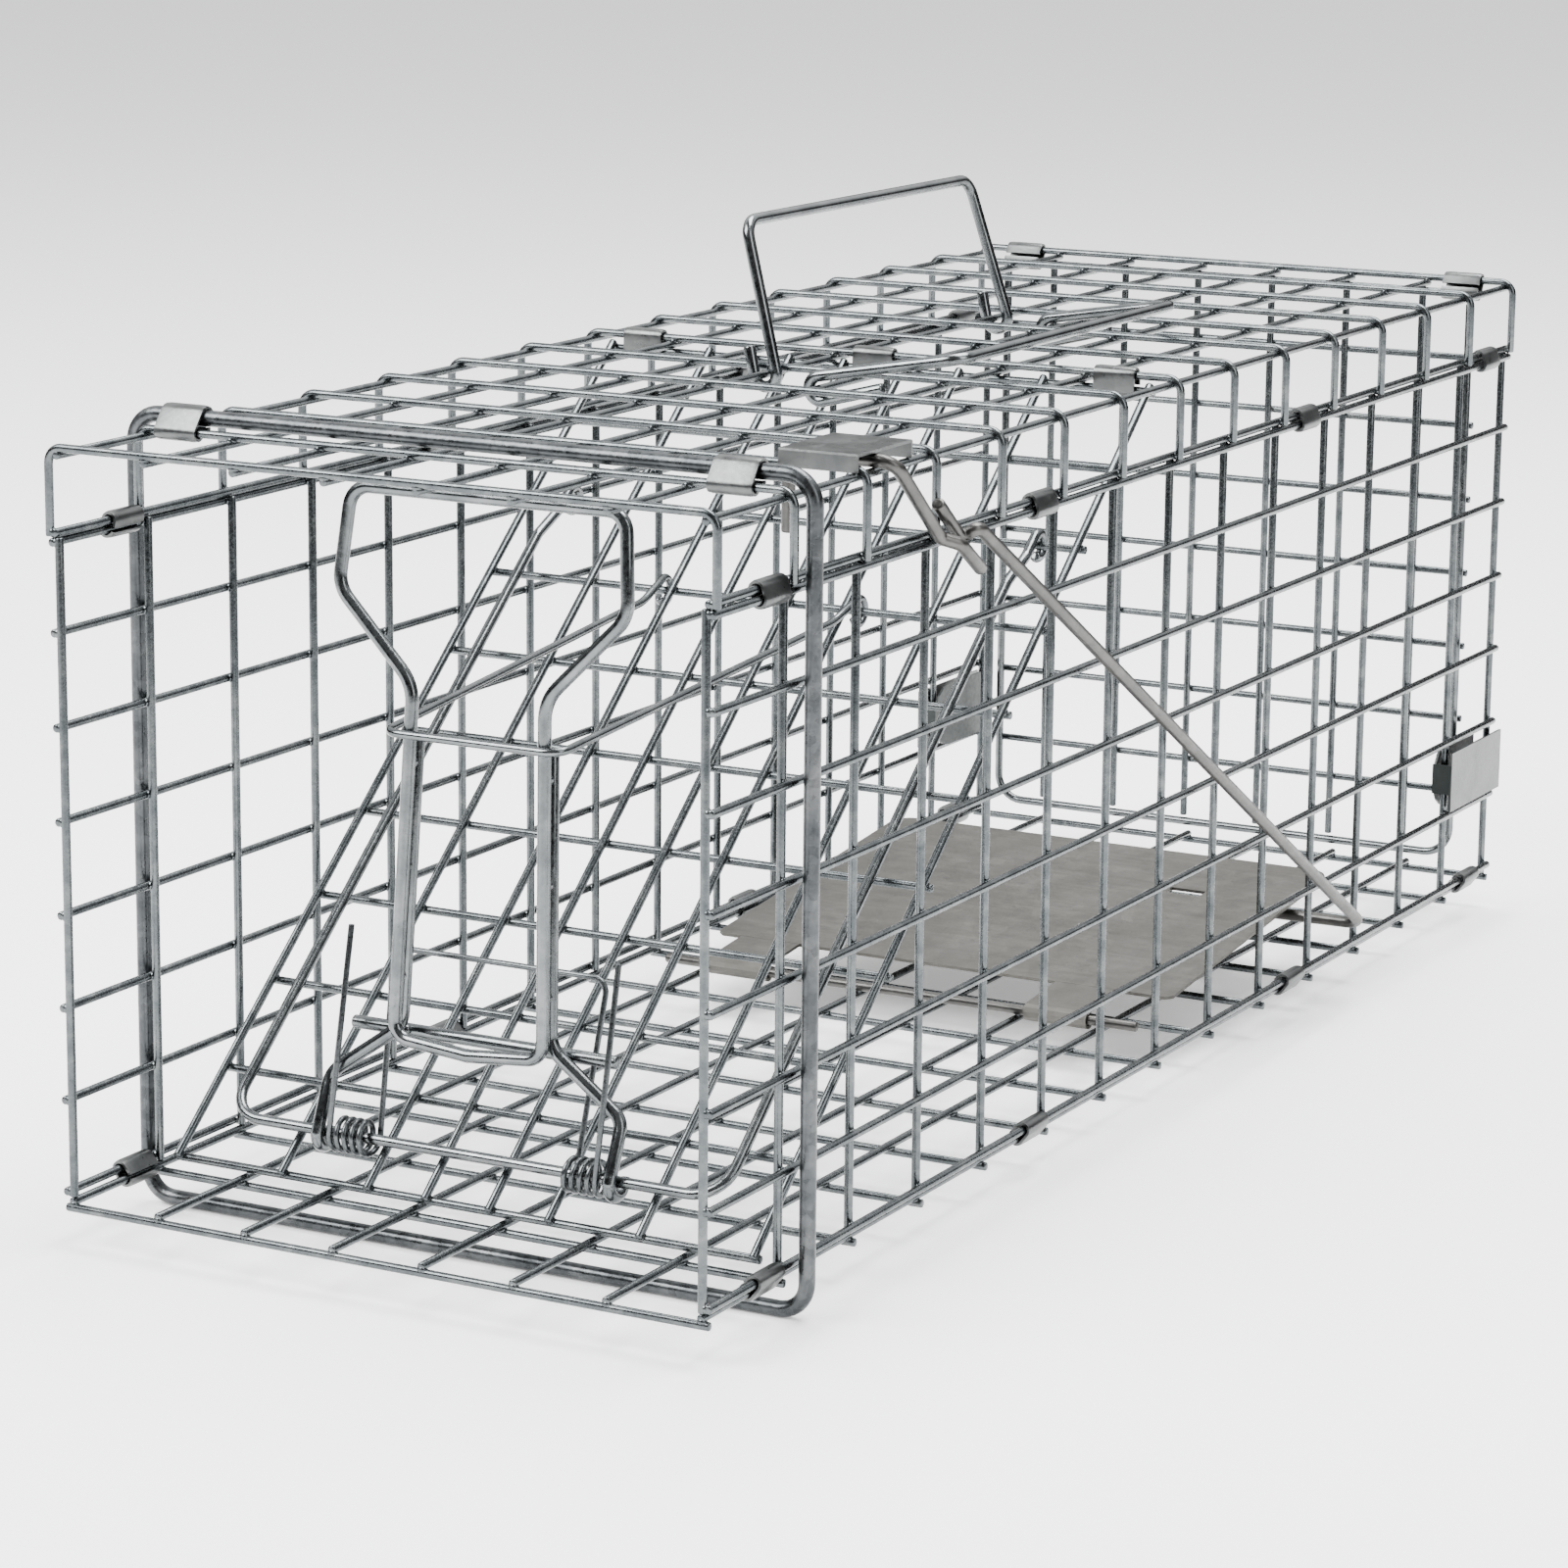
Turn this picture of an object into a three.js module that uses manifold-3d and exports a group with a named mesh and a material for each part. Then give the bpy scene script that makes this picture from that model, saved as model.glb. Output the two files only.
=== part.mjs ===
// Live catch trap: a wire cage with a sloping front door under a toggle lever, a trigger pan with
// its set and trigger rods, a rear release door with two sliding latches, and two carrying bails.
// Millimetres, +Z up, entrance towards -Y. The animal walks in towards +Y.
import * as THREE from "three";
import { mergeVertices } from "three/addons/utils/BufferGeometryUtils.js";
import Module from "manifold-3d";

const wasm = await Module();
wasm.setup();

// ---------------------------------------------------------------- driving dimensions
const PX = 27.6, NX = 7; // mesh pitch across the cage and cells
const PY = 39.2, NY = 14; // mesh pitch along the cage and cells
const PZ = 25.4; // mesh pitch up the walls
const W = 2.2; // square section equal in area to the 2.5 mm mesh wire
const LAYER = 1.9; // distance between the two wire layers of a welded mesh
const FLOOR_LOW = 10.75; // centre of the floor's cross wires
const WALL_BOTTOM = 15.2; // centre of the walls' bottom rail
const WALL_TOP = 191.7; // centre of the walls' top rail
const FLANGE = 194.3, FLANGE_X = 97.6; // rail at the foot of the roof's bent flange
const ROOF_LONG = 214.8, ROOF_CROSS = 216.7; // roof wires: long ones below, cross ones above
const WALL_IN = 96.6, WALL_OUT = 98.5; // wall uprights inside, rails outside
const HOOP_Y = -231.2, HOOP_X = 103.2, HOOP_TOP = 220.3, HOOP_BOTTOM = 2.3, HOOP_R = 2.3;
const HINGE_Z = 212.3; // front door hinge wire, at y = 0
const DOOR_FOOT_Y = -235.2, DOOR_FOOT_Z = 14.65;
const DOOR_X = [-90, -56, -28.4, -10, 10, 28.4, 56, 90]; // long wires of the front door
const DOOR_ROD_R = 1.6, DOOR_ROD_X = 77;
const LEVER_R = 1.9;
const LINK_R = 1.2;
const ROD_R = 1.9;
const SPRING_R = 0.85, COIL_R = 4.4;
const HANDLE_R = 1.8, HANDLE_H = 44.7, HANDLE_FEET = 154, HANDLE_GRIP = 146;
const REAR_Y = 272, REAR_TOP = 212.4, REAR_ROD_X = 86.4, REAR_ROD_R = 1.4;
const SHEET = 0.7; // clip sheet
const CLIP_LEN = 13;

const V = (x, y, z) => new THREE.Vector3(x, y, z);
const xs = Array.from({ length: NX + 1 }, (_, i) => (i - NX / 2) * PX);
const ys = Array.from({ length: NY + 1 }, (_, j) => (j - NY / 2) * PY);
const zs = [0, 1, 2, 3, 4, 5, 6].map((k) => WALL_BOTTOM + k * PZ).concat([WALL_TOP]);

// ---------------------------------------------------------------- solids
const solid = (geometry) => {
  const g = geometry.clone();
  g.deleteAttribute("normal");
  g.deleteAttribute("uv");
  const m = g.index && !g.getAttribute("normal") ? mergeVertices(g.toNonIndexed(), 1e-4) : mergeVertices(g, 1e-4);
  return new wasm.Manifold(
    new wasm.Mesh({
      numProp: 3,
      vertProperties: new Float32Array(m.attributes.position.array),
      triVerts: new Uint32Array(m.index.array),
    }),
  );
};
const geometryOf = (manifold) => {
  const m = manifold.asOriginal().simplify(0.001).getMesh();
  const g = new THREE.BufferGeometry();
  const n = m.numProp, p = new Float32Array((m.vertProperties.length / n) * 3);
  for (let i = 0; i < p.length / 3; i++) for (let k = 0; k < 3; k++) p[3 * i + k] = m.vertProperties[n * i + k];
  g.setAttribute("position", new THREE.BufferAttribute(p, 3));
  g.setIndex(new THREE.BufferAttribute(new Uint32Array(m.triVerts), 1));
  g.computeVertexNormals();
  return g;
};
const box = (x0, x1, y0, y1, z0, z1) => {
  const g = new THREE.BoxGeometry(x1 - x0, y1 - y0, z1 - z0);
  g.translate((x0 + x1) / 2, (y0 + y1) / 2, (z0 + z1) / 2);
  return g;
};
const frameOf = (origin, u, v) => {
  const w = new THREE.Vector3().crossVectors(u, v);
  return new THREE.Matrix4().makeBasis(u, v, w).setPosition(origin);
};
const extrude = (shape, depth, frame) => {
  const g = new THREE.ExtrudeGeometry(shape, { depth, bevelEnabled: false, steps: 1 });
  g.applyMatrix4(frame);
  return g;
};
const polygon = (points) => new THREE.Shape(points.map((p) => new THREE.Vector2(p[0], p[1])));

// A wire bent through explicit points.
class WirePath extends THREE.Curve {
  constructor(points) {
    super();
    this.points = points;
  }
  getPoint(t) {
    const n = this.points.length - 1, f = Math.min(Math.max(t, 0), 1) * n;
    const i = Math.min(Math.floor(f), n - 1);
    return this.points[i].clone().lerp(this.points[i + 1], f - i);
  }
  getPointAt(t) {
    return this.getPoint(t);
  }
  getSpacedPoints() {
    return this.points.map((p) => p.clone());
  }
  getTangent(t) {
    const n = this.points.length - 1, i = Math.min(Math.max(Math.round(t * n), 0), n), d = V(0, 0, 0);
    if (i > 0) d.add(this.points[i].clone().sub(this.points[i - 1]).normalize());
    if (i < n) d.add(this.points[i + 1].clone().sub(this.points[i]).normalize());
    return d.normalize();
  }
  getTangentAt(t) {
    return this.getTangent(t);
  }
}
const wire = (points, radius, sides = 6) => {
  const r = radius / Math.sqrt(Math.cos(Math.PI / sides)), ring = [];
  for (let k = 0; k < sides; k++) {
    const a = ((k + 0.5) / sides) * 2 * Math.PI;
    ring.push([r * Math.cos(a), r * Math.sin(a)]);
  }
  return new THREE.ExtrudeGeometry(polygon(ring), {
    steps: points.length - 1,
    bevelEnabled: false,
    extrudePath: new WirePath(points),
  });
};
// Rounds the inner corners of a bent wire: corners = [point, radius, steps].
const bend = (corners) => {
  const out = [];
  corners.forEach(([p, r, steps = 4], i) => {
    if (!r || i === 0 || i === corners.length - 1) return out.push(p);
    const a = corners[i - 1][0].clone().sub(p), b = corners[i + 1][0].clone().sub(p);
    const la = a.length(), lb = b.length();
    a.normalize();
    b.normalize();
    const half = Math.acos(Math.min(Math.max(a.dot(b), -1), 1)) / 2;
    let reach = r / Math.tan(half);
    const most = 0.49 * Math.min(la, lb), rr = reach > most ? (r * most) / reach : r;
    reach = Math.min(reach, most);
    const centre = p.clone().add(a.clone().add(b).normalize().multiplyScalar(rr / Math.sin(half)));
    const from = p.clone().addScaledVector(a, reach).sub(centre);
    const to = p.clone().addScaledVector(b, reach).sub(centre);
    const turn = Math.PI - 2 * half;
    for (let k = 0; k <= steps; k++) {
      const f = k / steps, s = Math.sin(turn);
      out.push(
        centre.clone()
          .addScaledVector(from, Math.sin((1 - f) * turn) / s)
          .addScaledVector(to, Math.sin(f * turn) / s),
      );
    }
  });
  return out;
};

// Welded mesh: bars at u and v in a slab as thick as both wire layers.
const mesh = ({ u, v, frame, thick = LAYER + W }) => {
  const h = W / 2, cu = u.flatMap((c) => [c - h, c + h]), cv = v.flatMap((c) => [c - h, c + h]);
  const nu = cu.length, nv = cv.length, pos = [], tri = [];
  for (const w of [0, thick]) for (let j = 0; j < nv; j++) for (let i = 0; i < nu; i++) pos.push(cu[i], cv[j], w);
  const id = (i, j, k) => k * nu * nv + j * nu + i;
  const open = (i, j) => i < 0 || j < 0 || i >= nu - 1 || j >= nv - 1 || (i % 2 === 1 && j % 2 === 1);
  const quad = (a, b, c, d) => tri.push(a, b, c, a, c, d);
  for (let j = 0; j < nv - 1; j++)
    for (let i = 0; i < nu - 1; i++) {
      if (open(i, j)) continue;
      quad(id(i, j, 1), id(i + 1, j, 1), id(i + 1, j + 1, 1), id(i, j + 1, 1));
      quad(id(i, j, 0), id(i, j + 1, 0), id(i + 1, j + 1, 0), id(i + 1, j, 0));
      if (open(i, j - 1)) quad(id(i, j, 0), id(i + 1, j, 0), id(i + 1, j, 1), id(i, j, 1));
      if (open(i + 1, j)) quad(id(i + 1, j, 0), id(i + 1, j + 1, 0), id(i + 1, j + 1, 1), id(i + 1, j, 1));
      if (open(i, j + 1)) quad(id(i + 1, j + 1, 0), id(i, j + 1, 0), id(i, j + 1, 1), id(i + 1, j + 1, 1));
      if (open(i - 1, j)) quad(id(i, j + 1, 0), id(i, j, 0), id(i, j, 1), id(i, j + 1, 1));
    }
  const g = new THREE.BufferGeometry();
  g.setAttribute("position", new THREE.Float32BufferAttribute(pos, 3));
  g.setIndex(tri);
  g.applyMatrix4(frame);
  return g;
};

const group = new THREE.Group();
group.name = "live_catch_trap";
const add = (name, geometry, color, roughness, metalness) => {
  const m = new THREE.Mesh(geometry, new THREE.MeshStandardMaterial({ color, roughness, metalness }));
  m.name = name;
  group.add(m);
};
const ZINC = [0xc3c8cd, 0.35, 0.9]; // bright plated mesh wire
const HOOPC = [0xb4b8ba, 0.5, 0.85]; // heavier galvanised wire
const CLIP = [0xd0d3d4, 0.4, 0.85]; // clip sheet
const RODC = [0xa6a8a8, 0.45, 0.9]; // rods
const PANC = [0xb1aea6, 0.5, 0.8]; // pan sheet

// ---------------------------------------------------------------- places along the door and lever
const slopeLength = Math.hypot(DOOR_FOOT_Y, HINGE_Z - DOOR_FOOT_Z);
const along = V(0, -DOOR_FOOT_Y / slopeLength, (HINGE_Z - DOOR_FOOT_Z) / slopeLength);
const outward = V(0, -along.z, along.y);
const onDoor = (x, s, w) => V(x, DOOR_FOOT_Y, DOOR_FOOT_Z).addScaledVector(along, s).addScaledVector(outward, w);
const doorRows = Array.from({ length: 11 }, (_, n) => 1.4 + (n * (slopeLength - 1.4)) / 10);
const pivot = onDoor(0, 13, 7); // centre of the door rod's bottom bar, where the lever turns
const leverUp = V(0, 0.0637, 0.998).normalize();
const leverFront = V(0, -leverUp.z, leverUp.y); // forward, away from the door
const onLever = (x, t, n) => pivot.clone().setX(x).addScaledVector(leverUp, t).addScaledVector(leverFront, n);

// ---------------------------------------------------------------- cage panels
const T = LAYER + W, H = W / 2;
const CLIP_WALL_TOP = [-245, -90, 98, 255], CLIP_WALL_BOTTOM = [-245, -88, 100, 255];
const betweenY = (y) => {
  const j = Math.floor((y - ys[0]) / PY);
  return [ys[j] + H, ys[j + 1] - H];
};
// the floor's outer long wires run alone between cross wires where a clip grips them
{
  let s = solid(mesh({ u: xs, v: ys, frame: frameOf(V(0, 0, FLOOR_LOW - H), V(1, 0, 0), V(0, 1, 0)) }));
  for (const y of CLIP_WALL_BOTTOM)
    for (const d of [-1, 1]) {
      const [a, b] = betweenY(y);
      s = s.subtract(solid(box(d * WALL_IN - 2, d * WALL_IN + 2, a, b, 8, FLOOR_LOW + LAYER - H)));
    }
  add("floor_panel", geometryOf(s), ...ZINC);
}
for (const [name, d] of [["left_wall_panel", -1], ["right_wall_panel", 1]]) {
  const low = d > 0 ? WALL_IN - H : -WALL_OUT - H;
  let s = solid(mesh({ u: ys, v: zs, frame: frameOf(V(low, 0, 0), V(0, 1, 0), V(0, 0, 1)) }));
  for (const [list, z] of [[CLIP_WALL_TOP, WALL_TOP], [CLIP_WALL_BOTTOM, WALL_BOTTOM]])
    for (const y of list) {
      const [a, b] = betweenY(y), inner = WALL_OUT - H, x0 = d > 0 ? WALL_IN - 3 : -inner, x1 = d > 0 ? inner : -WALL_IN + 3;
      s = s.subtract(solid(box(x0, x1, a, b, z - 2, z + 2)));
    }
  add(name, geometryOf(s), ...ZINC);
}
// roof, with its cross wires bent down to the flange rails
const CLIPS_HOOP = [-86, 82], CLIPS_DOOR = [-79, 0, 79], CLIPS_REAR = [-82, 82];
{
  let s = solid(mesh({ u: xs, v: ys, frame: frameOf(V(0, 0, ROOF_LONG - H), V(1, 0, 0), V(0, 1, 0)) }));
  const low = ROOF_CROSS - H; // underside of the cross wires
  const cut = [];
  const crossAlone = (i, j) => cut.push(box(xs[i] + H, xs[i + 1] - H, ys[j] - 1.5, ys[j] + 1.5, 212, low));
  const longAlone = (i, j) => cut.push(box(xs[i] - 1.5, xs[i] + 1.5, ys[j] + H, ys[j + 1] - H, ROOF_LONG + H, 219));
  for (let i = 0; i < NX; i++) crossAlone(i, 7);
  for (const j of [1, 14]) for (const i of [0, 6]) crossAlone(i, j);
  for (let i = 0; i < 6; i++) longAlone(i, 1);
  for (const i of [6, 7]) for (const j of [1, 2, 3]) longAlone(i, j);
  for (const i of [3, 4]) for (const j of [5, 9]) longAlone(i, j);
  cut.push(box(-95, 95, 270.6, 273.2, 213, 214.05)); // long wires eased where the rear hinge wire turns under them
  for (const c of cut) s = s.subtract(solid(c));
  for (const d of [-1, 1]) {
    s = s.add(solid(box(d > 0 ? FLANGE_X - H : -FLANGE_X - H, d > 0 ? FLANGE_X + H : -FLANGE_X + H, ys[0] - H, ys[NY] + H, FLANGE - H, FLANGE + H)));
    for (const y of ys) {
      const leg = [[96.2, low], [96.2, ROOF_CROSS + H], [97.6, ROOF_CROSS + H], [100.4, 214.4], [100.4, FLANGE - H], [98.45, FLANGE - H], [98.45, 214.2], [97.0, low]];
      const pts = leg.map(([x, z]) => [x, z]);
      const f = d > 0 ? frameOf(V(0, y + H, 0), V(1, 0, 0), V(0, 0, 1)) : frameOf(V(0, y - H, 0), V(-1, 0, 0), V(0, 0, 1));
      s = s.add(solid(extrude(polygon(pts), W, f)));
    }
  }
  add("roof_panel", geometryOf(s), ...ZINC);
}

// ---------------------------------------------------------------- clips
const hull = (points) => {
  const p = points.map((q) => [q[0], q[1]]).sort((a, b) => a[0] - b[0] || a[1] - b[1]);
  const cross = (o, a, b) => (a[0] - o[0]) * (b[1] - o[1]) - (a[1] - o[1]) * (b[0] - o[0]);
  const half = (list) => {
    const h = [];
    for (const q of list) {
      while (h.length > 1 && cross(h[h.length - 2], h[h.length - 1], q) <= 1e-9) h.pop();
      h.push(q);
    }
    return h.slice(0, -1);
  };
  return half(p).concat(half([...p].reverse()));
};
// A sheet sleeve folded round two wires, open along a slit on the side that slit points to.
const clip = (a, b, ra, rb, axis, at, slit, length = CLIP_LEN) => {
  const ring = (extra) => {
    const pts = [];
    for (let k = 0; k < 10; k++) {
      const t = ((k + 0.5) / 10) * 2 * Math.PI, c = Math.cos(t) / Math.cos(Math.PI / 10), s = Math.sin(t) / Math.cos(Math.PI / 10);
      pts.push([a[0] + (ra + extra) * c, a[1] + (ra + extra) * s], [b[0] + (rb + extra) * c, b[1] + (rb + extra) * s]);
    }
    return hull(pts);
  };
  const shape = polygon(ring(SHEET));
  shape.holes.push(new THREE.Path(ring(0).reverse().map((p) => new THREE.Vector2(p[0], p[1]))));
  // (u, v) = (x, z) for a clip along y, (y, z) for a clip along x
  const f = axis === "y" ? frameOf(V(0, at + length / 2, 0), V(1, 0, 0), V(0, 0, 1)) : frameOf(V(at - length / 2, 0, 0), V(0, 1, 0), V(0, 0, 1));
  const m = [(a[0] + b[0]) / 2, (a[1] + b[1]) / 2];
  const g = 0.35, r = Math.max(ra, rb) + SHEET + 1, q = [m[0] + slit * r, m[1]];
  const [u0, u1] = [Math.min(m[0], q[0]), Math.max(m[0], q[0])];
  const gap = axis === "y" ? box(u0, u1, at - length, at + length, m[1] - g, m[1] + g) : box(at - length, at + length, u0, u1, m[1] - g, m[1] + g);
  return geometryOf(solid(extrude(shape, length, f)).subtract(solid(gap)));
};
const R1 = 1.8; // inside radius round a mesh wire
["front", "mid_front", "mid_rear", "rear"].forEach((where, k) => {
  for (const [side, d] of [["left", -1], ["right", 1]]) {
    add(`clip_top_${side}_${where}`, clip([d * WALL_OUT, WALL_TOP], [d * FLANGE_X, FLANGE], R1, R1, "y", CLIP_WALL_TOP[k], -d), ...CLIP);
    add(`clip_bottom_${side}_${where}`, clip([d * WALL_IN, FLOOR_LOW + LAYER], [d * WALL_OUT, WALL_BOTTOM], R1, R1, "y", CLIP_WALL_BOTTOM[k], -d), ...CLIP);
  }
});
CLIPS_HOOP.forEach((x, k) => add(`clip_hoop_${["left", "right"][k]}`, clip([ys[1], ROOF_CROSS], [HOOP_Y, HOOP_TOP], R1, HOOP_R + 0.45, "x", x, 1), ...CLIP));
CLIPS_DOOR.forEach((x, k) => add(`clip_door_${["left", "middle", "right"][k]}`, clip([0, ROOF_CROSS], [0, HINGE_Z], R1, R1, "x", x, 1), ...CLIP));
CLIPS_REAR.forEach((x, k) => add(`clip_rear_${["left", "right"][k]}`, clip([ys[NY], ROOF_CROSS], [REAR_Y, REAR_TOP], R1, R1, "x", x, -1), ...CLIP));

// ---------------------------------------------------------------- front hoop
add("front_hoop", wire(bend([
  [V(0.25, HOOP_Y, HOOP_BOTTOM), 0],
  [V(HOOP_X, HOOP_Y, HOOP_BOTTOM), 8, 4],
  [V(HOOP_X, HOOP_Y, HOOP_TOP), 8, 4],
  [V(-HOOP_X, HOOP_Y, HOOP_TOP), 8, 4],
  [V(-HOOP_X, HOOP_Y, HOOP_BOTTOM), 8, 4],
  [V(-0.25, HOOP_Y, HOOP_BOTTOM), 0],
]), HOOP_R, 8), ...HOOPC);

// ---------------------------------------------------------------- front door
{
  const f = frameOf(onDoor(0, 0, -H), V(1, 0, 0), along);
  let s = solid(mesh({ u: DOOR_X, v: doorRows, frame: f }));
  const alone = (x0, x1, row) => {
    const g = box(x0 + H, x1 - H, doorRows[row] - 1.5, doorRows[row] + 1.5, W, 6);
    g.applyMatrix4(f);
    s = s.subtract(solid(g));
  };
  for (const [x0, x1] of [[-90, -56], [56, 90]]) alone(x0, x1, 8);
  for (const [x0, x1] of [[-56, -28.4], [28.4, 56]]) alone(x0, x1, 7);
  // the hinge wire's upper edge is eased where the roof's long wires pass over it
  for (let k = 0; k < DOOR_X.length - 1; k++) {
    alone(DOOR_X[k], DOOR_X[k + 1], 10);
    s = s.subtract(solid(box(DOOR_X[k] + H, DOOR_X[k + 1] - H, -2, 2, HINGE_Z + 1.2, HINGE_Z + 3)));
  }
  add("door_mesh", geometryOf(s), ...ZINC);
}
// an open eye: an arc round (s, w) from angle a0 through sweep, in degrees
const arc = (place, cs, cw, r, a0, sweep, steps) =>
  Array.from({ length: steps + 1 }, (_, k) => {
    const a = ((a0 + (sweep * k) / steps) * Math.PI) / 180;
    return place(cs + r * Math.cos(a), cw + r * Math.sin(a));
  });
{
  const eye = (x) => arc((s, w) => onDoor(x, s, w), doorRows[8], 0, 3.4, 90, -255, 8);
  const leg = (x) => [...bend([[onDoor(x, 60, 7), 0], [onDoor(x, 226, 7), 8, 2], [onDoor(x, 239, 3.4), 8, 2], [onDoor(x, doorRows[8], 3.4), 0]]).slice(1, -1), ...eye(x)];
  const points = [
    ...leg(-DOOR_ROD_X).reverse(),
    ...bend([[onDoor(-DOOR_ROD_X, 60, 7), 0], [onDoor(-DOOR_ROD_X, 13, 7), 10, 4], [onDoor(DOOR_ROD_X, 13, 7), 10, 4], [onDoor(DOOR_ROD_X, 60, 7), 0]]).slice(1, -1),
    ...leg(DOOR_ROD_X),
  ];
  add("door_rod", wire(points, DOOR_ROD_R, 8), ...ZINC);
}

// ---------------------------------------------------------------- lever
{
  const n = 2.05, side = (d) => [
    [onLever(d * 23.2, 29.6, n), 5, 3],
    [onLever(d * 20.3, 125, n), 12, 3],
    [onLever(d * 44.3, 149, n), 9, 3],
    [onLever(d * 42, 176, n - 1.5), 6, 3],
  ];
  add("lever_frame", wire(bend([
    [onLever(-0.25, 27.6, n), 0],
    ...side(-1),
    ...side(1).reverse(),
    [onLever(0.25, 27.6, n), 0],
  ]), LEVER_R, 8), ...ZINC);
  for (const [name, d] of [["lever_leg_left", -1], ["lever_leg_right", 1]]) {
    const x = d * 45.6;
    const points = [
      ...bend([
        [onLever(d * 20.7, 112, -n), 0],
        [onLever(d * 23.2, 32, -n), 8, 3],
        [onLever(x, 16, -n), 6, 4],
        [onLever(x, 1.2, 3.95), 0],
      ]).slice(0, -1),
      ...arc((nn, t) => onLever(x, t, nn), 0, 0, 3.95, 4, -190, 7),
    ];
    add(name, wire(points, LEVER_R, 8), ...ZINC);
  }
  add("lever_crossbar", wire([onLever(-41.3, 30, -6.2), onLever(41.3, 30, -6.2)], LEVER_R, 8), ...ZINC);
  // double torsion spring: outer arms in front of the crossbar, inner ends joined by a bail behind it
  const half = (d) => {
    const xo = 41.6, xi = 30.8, turns = 4.5, steps = Math.round(turns * 9), pts = [];
    pts.push(onLever(d * xo, 57, COIL_R - 0.15 * 57));
    for (let k = 0; k <= steps; k++) {
      const f = k / steps, a = -f * turns * 2 * Math.PI;
      pts.push(onLever(d * (xo + (xi - xo) * f), COIL_R * Math.sin(a), COIL_R * Math.cos(a)));
    }
    pts.push(...bend([[onLever(d * xi, 3, -4.9), 0], [onLever(d * 33.4, 50.3, -13.1), 4, 3], [onLever(0, 50.3, -13.1), 0]]).slice(1, -1));
    return pts;
  };
  add("lever_spring", wire([...half(-1), ...half(1).reverse()], SPRING_R, 6), ...RODC);
}

// ---------------------------------------------------------------- link between lever and door
{
  const eyeAt = onDoor(0, doorRows[7], 0), nose = V(0, -228.0, 140.5);
  const dir = nose.clone().sub(eyeAt).normalize(), up = V(0, -dir.z, dir.y); // dir towards the lever
  const onLink = (x, a, b) => eyeAt.clone().setX(x).addScaledVector(dir, a).addScaledVector(up, b);
  const length = nose.distanceTo(eyeAt), sgn = up.z > 0 ? 1 : -1;
  const side = (d) => arc((a, b) => onLink(d * 32, a, sgn * b), 0, 0, 3.7, 195, -105, 3).slice(0, -1).reverse();
  const hook = (d) => arc((a, b) => onLink(d * 32, a, sgn * b), 0, 0, 3.7, -20, -250, 8);
  void side;
  const arm = (d) => [...hook(d), ...bend([[onLink(d * 32, 0, sgn * 3.7), 0], [onLink(d * 31, 14, 0), 20, 2], [onLink(d * 27, length, 0), 5, 3], [onLink(0, length, 0), 0]]).slice(1, -1)];
  add("lever_link", wire([...arm(-1), ...arm(1).reverse()], LINK_R, 6), ...ZINC);
}

// ---------------------------------------------------------------- bracket, set rod and trigger rod
{
  const x0 = 75, x1 = 98, y0 = -199, y1 = -168, t = 0.8, top = 220.9, foot = 216.05;
  const shape = polygon([[y0, foot], [y0 + t, foot], [y0 + t, top - t], [y1 - t, top - t], [y1 - t, foot], [y1, foot], [y1, top - 0.5], [y1 - 0.5, top], [y0 + 0.5, top], [y0, top - 0.5]]);
  add("set_rod_bracket", extrude(shape, x1 - x0, frameOf(V(x0, 0, 0), V(0, 1, 0), V(0, 0, 1))), ...CLIP);
}
add("set_rod", wire(bend([
  [V(72.3, -188, 197), 0],
  [V(72.3, -188, 217.95), 4.5, 3],
  [V(103, -188, 217.95), 4.5, 3],
  [V(103, -161, 194.3), 2.6, 2],
  [V(107.2, -157.5, 192.6), 2.6, 2],
  [V(107.2, -145, 184), 0],
]), ROD_R, 8), ...RODC);
add("trigger_rod", wire(bend([
  [V(103, -163, 203.8), 0],
  [V(103, -148.8, 192.3), 2.2, 3],
  [V(107.3, -147.7, 195.9), 2.2, 3],
  [V(107.3, 137, 25.4), 6, 4],
  [V(60, 137, 25.0), 0],
]), ROD_R, 8), ...RODC);

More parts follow.
